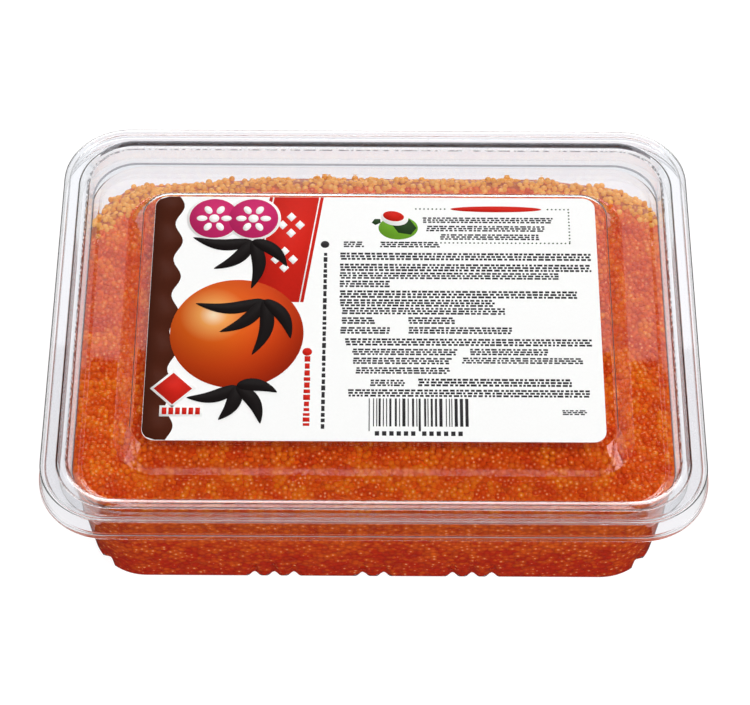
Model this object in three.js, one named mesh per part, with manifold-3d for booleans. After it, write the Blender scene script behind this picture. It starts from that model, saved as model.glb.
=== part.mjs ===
// A shut clear pack of orange fish roe: a tapering tray filled with roe up to its lid, the stacking
// lid with a sunken trough round a raised middle, and the paper label that is stuck on that middle.
// Units are millimetres and +Z is up. The origin is the centre of the tray's flat bottom.

import * as THREE from 'three';
import { mergeVertices } from 'three/addons/utils/BufferGeometryUtils.js';
import Module from 'manifold-3d';

const wasm = await Module();
wasm.setup();

// Driving dimensions of the whole pack
const PACK_LENGTH = 161.4;
const PACK_WIDTH = 121.6;
const FLANGE_TOP = 42;
const SHEET = 0.5;
const GAP = 0.3;
const CORNER_STEPS = 7;

// Lid: heights of its levels above the bottom of the tray
const PLATEAU_TOP = 41.6;
const TROUGH_FLOOR = 35.2;
const LEDGE_TOP = 35.85;
const WELL_FOOT = 36.35;
const SKIRT_STEP = 36;
const SKIRT_BOTTOM = 34.2;
const EDGE_ROUND = 0.4;

// Tray: its flange lies one gap under the lid's
const TRAY_TOP = FLANGE_TOP - SHEET - GAP;
const TRAY_CORNER = 14;
const LIP_BOTTOM = 39.3;
const WALL_TOP = 34.2;
const FOOT_INSET = 10.3;
const FOOT_ROUND = 1.1;
const CAVITY_OVERSHOOT = 1;

// Grooves pressed into the foot of the walls
const GROOVE_HEIGHT = 7;
const GROOVE_RADIUS = 1.6;
const GROOVE_SETBACK = 0.5;
const GROOVE_SIDES = 8;
const LONG_SIDE_GROOVES = [-29.6, -24.7, -19.8, -2.6, 2.6, 19.8, 24.7, 29.6];
const SHORT_SIDE_GROOVES = [-5, 0, 5];
const CORNER_NOTCH_DEPTH = 1.6;

// Roe: pressed under the trough floor, short of the back wall and of the two back corners
const ROE_TOP = TROUGH_FLOOR - SHEET - GAP;
const ROE_CELL = 3.45;
const ROE_BUMP = 0.75;
const BACK_EDGE = 49.3;
const CORNER_START = 50;
const LEFT_CORNER_FALL = 0.03;
const RIGHT_CORNER_FALL = 0.02;
const SLUMP_SLOPE = 0.9;
const SLUMP_DEPTH = 3.2;
const EGG_RADIUS = 0.78;
const LOOSE_EGG_PITCH = 3.4;
const LOOSE_EGG_SPREAD = 2;
const LOOSE_EGG_INSET = 1.6;
const LOOSE_EGG_SINK = 0.2;
const RANDOM_SEED = 4127;

// Label
const LABEL_LENGTH = 112.1;
const LABEL_WIDTH = 75;
const LABEL_CORNER = 3.2;
const LABEL_THICKNESS = 0.2;
const GLUE = 0.05;

// A rounded rectangle at one height, by its inset from the edge of the pack. Nearly every outline is
// as far in from the long edges as from the short ones, so the second inset is mostly left out.
function ring(inset, corner, z, insetOfLongSides = inset) {
  const halfWidth = PACK_WIDTH / 2 - insetOfLongSides;
  return { halfLength: PACK_LENGTH / 2 - inset, halfWidth, corner, z };
}

// The point on the middle line where a profile starts or ends
function middle(z) {
  return { halfLength: 0, halfWidth: 0, corner: 0, z };
}

function seededRandom(seed) {
  let state = seed;
  return () => {
    state = (state * 16807) % 2147483647;
    return state / 2147483647;
  };
}

// A closed mesh as a solid that can be joined and cut
function toSolid(geometry) {
  const bare = geometry.clone();
  bare.deleteAttribute('normal');
  bare.deleteAttribute('uv');
  const merged = mergeVertices(bare);
  const index = merged.getIndex().array;
  const triVerts = [];
  for (let i = 0; i < index.length; i += 3) {
    const [a, b, c] = index.slice(i, i + 3);
    if (a !== b && b !== c && c !== a) {
      triVerts.push(a, b, c);
    }
  }
  const vertProperties = merged.getAttribute('position').array;
  return new wasm.Manifold(new wasm.Mesh({
    numProp: 3,
    vertProperties: new Float32Array(vertProperties),
    triVerts: new Uint32Array(triVerts),
  }));
}

function toGeometry(solid) {
  const { vertProperties, triVerts } = solid.getMesh();
  const geometry = new THREE.BufferGeometry();
  geometry.setAttribute('position', new THREE.BufferAttribute(vertProperties, 3));
  geometry.setIndex(new THREE.BufferAttribute(triVerts, 1));
  geometry.computeVertexNormals();
  return geometry;
}

// The solid inside a profile of rings that starts and ends on the middle line. A lathe turns the
// corner radii, and then each quarter of it moves out to its own corner of the pack.
function solidThrough(rings) {
  const profile = rings.map(({ corner, z }) => new THREE.Vector2(corner, z));
  const columnsPerCorner = CORNER_STEPS + 1;
  const columns = 4 * columnsPerCorner;
  const geometry = new THREE.LatheGeometry(profile, columns);
  const places = geometry.getAttribute('position');
  for (let i = 0; i < places.count; i += 1) {
    const { halfLength, halfWidth, corner, z } = rings[i % rings.length];
    const column = Math.floor(i / rings.length) % columns;
    const quarter = Math.floor(column / columnsPerCorner);
    const turn = (quarter + (column % columnsPerCorner) / CORNER_STEPS) * (Math.PI / 2);
    const sideX = quarter === 0 || quarter === 3 ? 1 : -1;
    const sideY = quarter < 2 ? 1 : -1;
    const x = sideX * (halfLength - corner) + corner * Math.cos(turn);
    const y = sideY * (halfWidth - corner) + corner * Math.sin(turn);
    places.setXYZ(i, x, y, z);
  }
  return toSolid(geometry);
}

// Left-hand normal of the step from one ring to the next, in the plane of inset and height
function stepNormal(from, to) {
  const step = new THREE.Vector2(to.halfLength - from.halfLength, to.z - from.z).normalize();
  return new THREE.Vector2(-step.y, step.x);
}

// The other face of a sheet: every ring moved square to the profile, to the left of its run
function offsetRings(rings, distance) {
  return rings.map((current, i) => {
    const before = stepNormal(rings[Math.max(i - 1, 0)], rings[Math.max(i, 1)]);
    const last = rings.length - 1;
    const after = stepNormal(rings[Math.min(i, last - 1)], rings[Math.min(i + 1, last)]);
    const shift = before.clone().add(after).multiplyScalar(distance / (1 + before.dot(after)));
    return {
      halfLength: current.halfLength + shift.x,
      halfWidth: current.halfWidth + shift.x,
      corner: current.corner + shift.x,
      z: current.z + shift.y,
    };
  });
}

// The tray's outer face from the middle of its bottom up to its flange
function trayWallRings() {
  return [
    middle(0),
    ring(FOOT_INSET + FOOT_ROUND, TRAY_CORNER - FOOT_ROUND, 0),
    ring(FOOT_INSET + 0.3 * FOOT_ROUND, TRAY_CORNER - 0.3 * FOOT_ROUND, 0.3 * FOOT_ROUND),
    ring(FOOT_INSET, TRAY_CORNER, FOOT_ROUND),
    ring(7.3, TRAY_CORNER, WALL_TOP),
    ring(6.9, 14, WALL_TOP + 0.3),
    ring(4.9, 14, WALL_TOP + 0.55),
    ring(4.55, 14.2, WALL_TOP + 0.9),
    ring(4.45, 14.3, TRAY_TOP - 0.8),
  ];
}

// The flange over the wall and the lip that turns down at its edge
function trayRimRings() {
  return [
    ring(4.2, 14.4, TRAY_TOP - SHEET),
    ring(2.9, 14.9, TRAY_TOP - SHEET),
    ring(2.25, 15.1, TRAY_TOP - 2 * SHEET),
    ring(2.15, 15.2, LIP_BOTTOM),
    ring(1.65, 15.6, LIP_BOTTOM),
    ring(1.75, 15.5, TRAY_TOP - SHEET),
    ring(2.3, 15, TRAY_TOP),
    middle(TRAY_TOP),
  ];
}

// The lid's upper face from the middle of the plateau, down into the trough, up to the flange and
// over its round edge down the skirt
function lidTopRings() {
  return [
    middle(PLATEAU_TOP),
    ring(22.3, 6.2, PLATEAU_TOP),
    ring(21.6, 6.9, PLATEAU_TOP - EDGE_ROUND),
    ring(18, 7.9, TROUGH_FLOOR + 0.5, 17.4),
    ring(17.3, 8.6, TROUGH_FLOOR, 16.7),
    ring(10, 10, TROUGH_FLOOR),
    ring(9.5, 10.5, LEDGE_TOP),
    ring(7.7, 11.3, LEDGE_TOP + 0.1),
    ring(7.3, 11.7, WELL_FOOT - 0.1),
    ring(6.5, 12.4, WELL_FOOT),
    ring(6.25, 12.6, FLANGE_TOP - EDGE_ROUND),
    ring(5.85, 13, FLANGE_TOP),
    ring(2.1, 15.4, FLANGE_TOP),
    ring(1.1, 16.2, FLANGE_TOP - EDGE_ROUND),
    ring(0.6, 16.6, FLANGE_TOP - 1),
    ring(0.4, 16.8, SKIRT_STEP),
    ring(0.1, 17.1, SKIRT_STEP - 0.3),
    ring(0, 17.2, SKIRT_BOTTOM),
  ];
}

// One long round-topped body on the foot of a wall, which cuts a groove of this radius into it
function grooveCutter(x, y, growth) {
  const radius = GROOVE_RADIUS + growth;
  const geometry = new THREE.SphereGeometry(1, GROOVE_SIDES, GROOVE_SIDES / 2);
  geometry.rotateX(Math.PI / 2);
  geometry.scale(radius, radius, GROOVE_HEIGHT + growth);
  geometry.translate(x, y, 0);
  return toSolid(geometry);
}

// Cutters for all the grooves of the four walls and for the notch in each corner
function grooveCutters(growth) {
  const foot = ring(FOOT_INSET, TRAY_CORNER, 0);
  const cutters = [];
  for (const side of [-1, 1]) {
    for (const x of LONG_SIDE_GROOVES) {
      cutters.push(grooveCutter(x, side * (foot.halfWidth + GROOVE_SETBACK), growth));
    }
    for (const y of SHORT_SIDE_GROOVES) {
      cutters.push(grooveCutter(side * (foot.halfLength + GROOVE_SETBACK), y, growth));
    }
    for (const end of [-1, 1]) {
      const reach = (foot.corner + GROOVE_RADIUS - CORNER_NOTCH_DEPTH) * Math.SQRT1_2;
      const x = end * (foot.halfLength - foot.corner + reach);
      const y = side * (foot.halfWidth - foot.corner + reach);
      cutters.push(grooveCutter(x, y, growth));
    }
  }
  return cutters;
}

function cutGrooves(solid, growth) {
  return grooveCutters(growth).reduce((rest, cutter) => rest.subtract(cutter), solid);
}

function makeTray() {
  const outside = solidThrough([...trayWallRings(), ...trayRimRings()]);
  const cavityRings = offsetRings(trayWallRings(), SHEET);
  const mouth = cavityRings.at(-1);
  const cavity = solidThrough([
    ...cavityRings,
    { ...mouth, z: TRAY_TOP + CAVITY_OVERSHOOT },
    middle(TRAY_TOP + CAVITY_OVERSHOOT),
  ]);
  return cutGrooves(outside, 0).subtract(cutGrooves(cavity, SHEET));
}

function makeLid() {
  const top = lidTopRings();
  const underside = offsetRings(top, -SHEET);
  return solidThrough([...underside, ...top.reverse()]);
}

// How far back the full level of the roe reaches at x: both back corners stay unfilled
function backEdge(x) {
  const fall = x < 0 ? LEFT_CORNER_FALL : RIGHT_CORNER_FALL;
  const past = Math.max(Math.abs(x) - CORNER_START, 0);
  return BACK_EDGE - fall * past * past;
}

// The level of the roe, without its bumps: flat under the lid and sloping down behind its back edge
function roeLevel(x, y) {
  const past = Math.max(y - backEdge(x), 0);
  return ROE_TOP - Math.min(SLUMP_SLOPE * past, SLUMP_DEPTH);
}

// A block over the whole tray whose upper face is the uneven top of the roe
function makeRoeTop() {
  const random = seededRandom(RANDOM_SEED);
  const cellsX = Math.round(PACK_LENGTH / ROE_CELL);
  const cellsY = Math.round(PACK_WIDTH / ROE_CELL);
  const box = new THREE.BoxGeometry(PACK_LENGTH, PACK_WIDTH, 2 * ROE_TOP, cellsX, cellsY, 1);
  box.deleteAttribute('normal');
  box.deleteAttribute('uv');
  const block = mergeVertices(box);
  const places = block.getAttribute('position');
  for (let i = 0; i < places.count; i += 1) {
    if (places.getZ(i) > 0) {
      const x = places.getX(i) + (random() - 0.5) * ROE_CELL / 2;
      const y = places.getY(i) + (random() - 0.5) * ROE_CELL / 2;
      places.setXYZ(i, x, y, roeLevel(x, y) - ROE_BUMP * random());
    }
  }
  return toSolid(block);
}

// Loose eggs that lie half sunk on the slope along the back edge
function makeLooseEggs() {
  const random = seededRandom(RANDOM_SEED + 1);
  const wall = offsetRings(trayWallRings(), SHEET + GAP)[4];
  const reach = wall.halfLength - wall.corner + LOOSE_EGG_PITCH;
  const eggs = [];
  for (let x = -reach; x < reach; x += LOOSE_EGG_PITCH) {
    const egg = new THREE.IcosahedronGeometry(EGG_RADIUS, 0);
    const eggX = x + (random() - 0.5) * LOOSE_EGG_PITCH / 2;
    const eggY = backEdge(eggX) + EGG_RADIUS / 2 + random() * LOOSE_EGG_SPREAD;
    const y = Math.min(eggY, wall.halfWidth - LOOSE_EGG_INSET);
    egg.rotateZ(random() * Math.PI);
    egg.translate(eggX, y, roeLevel(eggX, y) - LOOSE_EGG_SINK - ROE_BUMP / 2);
    eggs.push(toSolid(egg));
  }
  return eggs;
}

function makeRoe() {
  const wall = offsetRings(trayWallRings().slice(0, 5), SHEET + GAP);
  const core = cutGrooves(solidThrough([...wall, middle(wall.at(-1).z)]), SHEET + GAP);
  const heap = core.intersect(makeRoeTop());
  return makeLooseEggs().reduce((body, egg) => body.add(egg), heap);
}

function makeLabelGeometry() {
  const x = LABEL_LENGTH / 2 - LABEL_CORNER;
  const y = LABEL_WIDTH / 2 - LABEL_CORNER;
  const quarter = Math.PI / 2;
  const outline = new THREE.Shape();
  outline.absarc(x, y, LABEL_CORNER, 0, quarter);
  outline.absarc(-x, y, LABEL_CORNER, quarter, 2 * quarter);
  outline.absarc(-x, -y, LABEL_CORNER, 2 * quarter, 3 * quarter);
  outline.absarc(x, -y, LABEL_CORNER, 3 * quarter, 4 * quarter);
  return new THREE.ExtrudeGeometry(outline, {
    depth: LABEL_THICKNESS,
    curveSegments: CORNER_STEPS,
    bevelEnabled: false,
  });
}

function addMesh(group, name, geometry, material) {
  const mesh = new THREE.Mesh(geometry, new THREE.MeshStandardMaterial(material));
  mesh.name = name;
  group.add(mesh);
  return mesh;
}

const CLEAR_SHEET = {
  color: 0xe9eef2, roughness: 0.08, metalness: 0, transparent: true, opacity: 0.3,
};
const ORANGE_ROE = { color: 0xd2561a, roughness: 0.35, metalness: 0 };
const WHITE_PAPER = { color: 0xfbfbf8, roughness: 0.45, metalness: 0 };

const pack = new THREE.Group();
addMesh(pack, 'tray', toGeometry(makeTray()), CLEAR_SHEET);
addMesh(pack, 'roe', toGeometry(makeRoe()), ORANGE_ROE);

const lid = new THREE.Group();
addMesh(lid, 'lid', toGeometry(makeLid()), CLEAR_SHEET);
addMesh(lid, 'label', makeLabelGeometry(), WHITE_PAPER).position.z = PLATEAU_TOP + GLUE;
pack.add(lid);

export default pack;
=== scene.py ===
"""A shut clear pack of orange fish roe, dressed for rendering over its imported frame.

Shapes are worked out in millimetres, and each mesh is brought to metres when it is finished.
"""

from __future__ import annotations

import logging
import math
import random
from collections.abc import Iterable, Sequence
from dataclasses import dataclass, field
from enum import Enum
from itertools import product
from typing import Any

import bmesh
import bpy
import numpy as np
from mathutils import Matrix, Vector, noise

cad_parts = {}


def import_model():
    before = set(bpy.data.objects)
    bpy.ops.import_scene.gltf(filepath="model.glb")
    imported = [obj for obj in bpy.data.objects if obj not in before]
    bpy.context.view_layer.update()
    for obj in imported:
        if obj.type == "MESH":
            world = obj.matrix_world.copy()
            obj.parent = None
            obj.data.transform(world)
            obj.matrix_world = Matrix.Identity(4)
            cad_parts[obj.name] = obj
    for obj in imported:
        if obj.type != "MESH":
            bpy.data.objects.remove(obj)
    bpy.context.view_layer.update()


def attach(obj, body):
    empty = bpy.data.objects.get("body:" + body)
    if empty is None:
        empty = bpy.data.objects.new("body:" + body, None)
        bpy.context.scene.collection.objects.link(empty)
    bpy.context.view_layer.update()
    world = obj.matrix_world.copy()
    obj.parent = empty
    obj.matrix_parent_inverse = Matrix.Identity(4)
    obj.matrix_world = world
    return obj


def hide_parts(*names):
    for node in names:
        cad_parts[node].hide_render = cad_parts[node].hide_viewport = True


LOG = logging.getLogger("roe_pack")
MM = 0.001
BODY = "root"

# Sizes of the pack in millimetres, those of its solids but for a thinner sheet
PACK_LENGTH = 161.4
PACK_WIDTH = 121.6
SHEET = 0.4
FLANGE_TOP = 42.0
PLATEAU_TOP = 41.6
TROUGH_FLOOR = 35.2
WALL_TOP = 34.45
BOTTOM_INSET = 10.39
BOTTOM_CORNER = 13.9
WALL_FOOT = 1.1
FOOT_INSET = 10.3
WALL_TOP_INSET = 7.28
FOOT_CORNER = 14.0
GROOVE_REACH = 7.4
EGG_RADIUS = 0.84

Colour = tuple[float, float, float, float]
PURE_WHITE: Colour = (1.0, 1.0, 1.0, 1.0)


def linear(red: int, green: int, blue: int) -> Colour:
    """Turns a colour as it looks on a screen into the linear values that shaders take.

    Args:
        red: Red, 0 to 255.
        green: Green, 0 to 255.
        blue: Blue, 0 to 255.

    Returns:
        The linear colour with an alpha of 1.
    """
    parts = [part / 255 for part in (red, green, blue)]
    bent = [part / 12.92 if part <= 0.04045 else ((part + 0.055) / 1.055) ** 2.4 for part in parts]
    return (bent[0], bent[1], bent[2], 1.0)


class Shade:
    """A shader socket that takes part in Python's sums."""

    def __init__(self, recipe: Recipe, socket: bpy.types.NodeSocket) -> None:
        """Keeps the socket and the recipe that it belongs to."""
        self.recipe = recipe
        self.socket = socket

    def __add__(self, other: Any) -> Shade:
        """Sum."""
        return self.recipe.math("ADD", self, other)

    def __sub__(self, other: Any) -> Shade:
        """Difference."""
        return self.recipe.math("SUBTRACT", self, other)

    def __rsub__(self, other: Any) -> Shade:
        """Difference, from the right."""
        return self.recipe.math("SUBTRACT", other, self)

    def __mul__(self, other: Any) -> Shade:
        """Product."""
        return self.recipe.math("MULTIPLY", self, other)

    def __pow__(self, other: Any) -> Shade:
        """Power."""
        return self.recipe.math("POWER", self, other)


class Recipe:
    """The node tree of one material or world while it is written."""

    def __init__(self, owner: bpy.types.Material | bpy.types.World) -> None:
        """Empties the tree of a new material or world."""
        self.owner = owner
        self.owner.use_nodes = True
        self.tree = owner.node_tree
        self.tree.nodes.clear()

    @classmethod
    def of_material(cls, name: str) -> Recipe:
        """A recipe for a new material of this name."""
        return cls(bpy.data.materials.new(name))

    def node(
        self,
        kind: str,
        settings: dict[str, Any] | None = None,
        sockets: dict[int | str, Any] | None = None,
        output: int | str = 0,
    ) -> Shade:
        """Adds a node, its settings first, then the values or links of its sockets.

        Args:
            kind: The node's type.
            settings: Properties of the node, such as a Math node's operation.
            sockets: A value, a colour or a Shade for each input, by name or number.
            output: The output that is handed on.

        Returns:
            The chosen output as a Shade.
        """
        made = self.tree.nodes.new(kind)
        for name, value in (settings or {}).items():
            if name == "stops":
                self._set_stops(made.color_ramp, value)
            else:
                setattr(made, name, value)
        for name, value in (sockets or {}).items():
            if isinstance(value, Shade):
                self.tree.links.new(value.socket, made.inputs[name])
            else:
                made.inputs[name].default_value = value
        return Shade(self, made.outputs[output])

    @staticmethod
    def _set_stops(ramp: bpy.types.ColorRamp, stops: Sequence[tuple[float, Colour]]) -> None:
        """Gives a colour ramp these stops."""
        while len(ramp.elements) < len(stops):
            ramp.elements.new(0.5)
        for element, (position, colour) in zip(ramp.elements, stops):
            element.position = position
            element.color = colour

    def place(self) -> Shade:
        """Object coordinates, in metres."""
        return self.node("ShaderNodeTexCoord", output="Object")

    def axes(self, place: Shade) -> tuple[Shade, Shade, Shade]:
        """The three parts of a place."""
        split = self.node("ShaderNodeSeparateXYZ", sockets={0: place})
        outputs = split.socket.node.outputs
        return Shade(self, outputs[0]), Shade(self, outputs[1]), Shade(self, outputs[2])

    def cloud(self, place: Shade, grain: float, detail: float = 2.0) -> Shade:
        """Noise from 0 to 1.

        Args:
            place: Where it is read.
            grain: The size of its patches in metres.
            detail: How many finer layers it has.

        Returns:
            The noise's value.
        """
        sockets = {"Vector": place, "Scale": 1 / grain, "Detail": detail}
        return self.node("ShaderNodeTexNoise", sockets=sockets)

    def blend(self, factor: Any, first: Any, second: Any) -> Shade:
        """Mixes two colours.

        Args:
            factor: 0 for the first colour, 1 for the second.
            first: A colour or a Shade.
            second: A colour or a Shade.

        Returns:
            The mixed colour.
        """
        settings = {"data_type": "RGBA"}
        return self.node("ShaderNodeMix", settings, {0: factor, 6: first, 7: second}, output=2)

    def ramp(self, factor: Shade, stops: Sequence[tuple[float, Colour]]) -> Shade:
        """A colour ramp."""
        return self.node("ShaderNodeValToRGB", {"stops": stops}, {0: factor})

    def bump(self, height: Shade, distance: float) -> Shade:
        """A normal tilted by a height map whose full range is this distance in metres."""
        sockets = {"Height": height, "Distance": distance, "Strength": 1.0}
        return self.node("ShaderNodeBump", sockets=sockets)

    def math(self, operation: str, first: Any, second: Any = 0.0, clamped: bool = False) -> Shade:
        """Adds one Math node and returns its result.

        Args:
            operation: What it does, by Blender's name.
            first: A number or a Shade.
            second: A number or a Shade, for what takes two.
            clamped: Whether the result is kept between 0 and 1.

        Returns:
            The result.
        """
        settings = {"operation": operation, "use_clamp": clamped}
        return self.node("ShaderNodeMath", settings, {0: first, 1: second})

    def above(self, first: Any, second: Any) -> Shade:
        """1 where the first value is the larger, and 0 elsewhere."""
        return self.math("GREATER_THAN", first, second)

    def clamped(self, value: Shade) -> Shade:
        """A value kept between 0 and 1."""
        return self.math("ADD", value, 0.0, clamped=True)

    def most(self, first: Any, second: Any) -> Shade:
        """The larger of two values, at most 1."""
        return self.math("MAXIMUM", first, second, clamped=True)

    def ray(self, fact: str) -> Shade:
        """A fact about the ray of light that meets the surface, by Blender's name."""
        return self.node("ShaderNodeLightPath", output=fact)

    def either(self, factor: Any, first: Shade, second: Shade) -> Shade:
        """The first shader where the factor is 0, and the second where it is 1."""
        return self.node("ShaderNodeMixShader", sockets={0: factor, 1: first, 2: second})

    def principled(self, sockets: dict[int | str, Any]) -> Shade:
        """The general surface shader with these inputs."""
        return self.node("ShaderNodeBsdfPrincipled", sockets=sockets)

    def finish(self, shader: Shade, output: str = "ShaderNodeOutputMaterial") -> Any:
        """Links the shader to a new output node and returns the material or world."""
        out = self.tree.nodes.new(output)
        self.tree.links.new(shader.socket, out.inputs["Surface"])
        return self.owner


def round_off(
    bm: bmesh.types.BMesh, geom: Sequence[Any], reach: float, steps: int, affect: str = "EDGES"
) -> dict[str, list[Any]]:
    """Rounds edges or corners off in even steps, and returns what that makes.

    Args:
        bm: The mesh.
        geom: Its edges or points to round off.
        reach: How far the rounding reaches to either side.
        steps: How many parts it has.
        affect: EDGES or VERTICES.

    Returns:
        The new points, edges and faces.
    """
    return bmesh.ops.bevel(
        bm, geom=geom, offset=reach, offset_type="OFFSET", segments=steps, profile=0.5,
        affect=affect, material=-1,
    )


@dataclass(frozen=True)
class Ring:
    """One level outline of the pack, a rounded rectangle.

    inset is how far it lies in from the pack's edge, corner its corner radius and height its level.
    bend is how far the rounding of the sheet reaches on either side of it, and long_inset is the
    inset from the two long edges where that differs.
    """

    inset: float
    corner: float
    height: float
    bend: float = 0.0
    long_inset: float | None = None

    def half_sizes(self) -> tuple[float, float]:
        """Half the outline's length and half its width."""
        long_inset = self.inset if self.long_inset is None else self.long_inset
        return PACK_LENGTH / 2 - self.inset, PACK_WIDTH / 2 - long_inset

    def shrunk(self, distance: float) -> Ring:
        """The same outline, moved inwards by a distance."""
        long_inset = None if self.long_inset is None else self.long_inset + distance
        corner = max(self.corner - distance, 0.2)
        return Ring(self.inset + distance, corner, self.height, self.bend, long_inset)

    def beyond(self, x: float, y: float) -> float:
        """How far a place lies outside the outline, and a negative number inside it."""
        length, width = self.half_sizes()
        past_x = max(abs(x) - length + self.corner, 0)
        past_y = max(abs(y) - width + self.corner, 0)
        return math.hypot(past_x, past_y) - self.corner

    def draw(self, bm: bmesh.types.BMesh, steps: int) -> list[bmesh.types.BMEdge]:
        """Draws the outline as a flat face.

        Args:
            bm: The mesh that it is drawn in.
            steps: Edges in each rounded corner.

        Returns:
            The face's edges.
        """
        half_length, half_width = self.half_sizes()
        verts = bmesh.ops.create_grid(bm, x_segments=1, y_segments=1, size=1.0)["verts"]
        bmesh.ops.scale(bm, vec=(half_length, half_width, 1.0), verts=verts)
        bmesh.ops.translate(bm, vec=(0.0, 0.0, self.height), verts=verts)
        made = round_off(bm, verts, self.corner, steps, "VERTICES")
        return list(made["verts"][0].link_faces[0].edges)

    def take_over(self, below: Ring, verts: Iterable[bmesh.types.BMVert]) -> None:
        """Moves points that lie on another ring to the same places on this one.

        Args:
            below: The ring that they lie on.
            verts: The points.
        """
        length, width = self.half_sizes()
        old_length, old_width = below.half_sizes()
        for vert in verts:
            old_x = math.copysign(old_length - below.corner, vert.co.x)
            old_y = math.copysign(old_width - below.corner, vert.co.y)
            share = self.corner / below.corner
            vert.co.x = math.copysign(length - self.corner, vert.co.x) + (vert.co.x - old_x) * share
            vert.co.y = math.copysign(width - self.corner, vert.co.y) + (vert.co.y - old_y) * share
            vert.co.z = self.height


def finished_mesh(name: str, bm: bmesh.types.BMesh) -> bpy.types.Mesh:
    """Turns a mesh in millimetres, which is used up, into one in metres."""
    bmesh.ops.scale(bm, vec=(MM, MM, MM), verts=bm.verts)
    mesh = bpy.data.meshes.new(name)
    bm.to_mesh(mesh)
    bm.free()
    return mesh


def add_object(name: str, data: bpy.types.ID) -> bpy.types.Object:
    """Makes an object of a mesh, a lamp or a camera and links it into the scene."""
    made = bpy.data.objects.new(name, data)
    bpy.context.scene.collection.objects.link(made)
    return made


def make_piece(name: str, mesh: bpy.types.Mesh, material: bpy.types.Material) -> bpy.types.Object:
    """Turns a finished mesh into a smooth piece of the scene.

    Args:
        name: The piece's name.
        mesh: Its mesh in metres.
        material: Its material.

    Returns:
        The piece, linked into the scene and riding on the pack's one body.
    """
    mesh.materials.clear()
    mesh.materials.append(material)
    mesh.shade_smooth()
    piece = add_object(name, mesh)
    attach(piece, BODY)
    return piece


def keep_flats_flat(piece: bpy.types.Object) -> None:
    """Lets the large faces of a piece rule its shading, so that only its bends look round."""
    weighted = piece.modifiers.new("flat faces stay flat", "WEIGHTED_NORMAL")
    weighted.keep_sharp = True
    weighted.weight = 80


@dataclass
class FormedSheet:
    """A clear sheet that is formed over rings, from the middle of its first ring to its last one."""

    rings: list[Ring]
    faces_up: bool
    thickness: float = SHEET
    corner_steps: int = 18
    bend_steps: int = 4

    def skin(self, bm: bmesh.types.BMesh) -> None:
        """Joins the rings to an open skin with rounded bends and a flat middle."""
        loops = [self.rings[0].draw(bm, self.corner_steps)]
        for below, ring in zip(self.rings, self.rings[1:]):
            made = bmesh.ops.extrude_edge_only(bm, edges=loops[-1])["geom"]
            ring.take_over(below, [item for item in made if isinstance(item, bmesh.types.BMVert)])
            loops.append(
                [item for item in made if isinstance(item, bmesh.types.BMEdge) and item.is_boundary]
            )
        for ring, loop in zip(self.rings, loops):
            if ring.bend > 0:
                round_off(bm, loop, ring.bend, self.bend_steps)
        bmesh.ops.recalc_face_normals(bm, faces=bm.faces)
        middle = max(bm.faces, key=lambda face: face.calc_area())
        if (middle.normal.z > 0) != self.faces_up:
            bmesh.ops.reverse_faces(bm, faces=bm.faces)

    def thicken(self, bm: bmesh.types.BMesh) -> None:
        """Gives the skin its wall, on the side away from where its faces look."""
        bmesh.ops.solidify(bm, geom=bm.faces[:], thickness=self.thickness)


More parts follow.
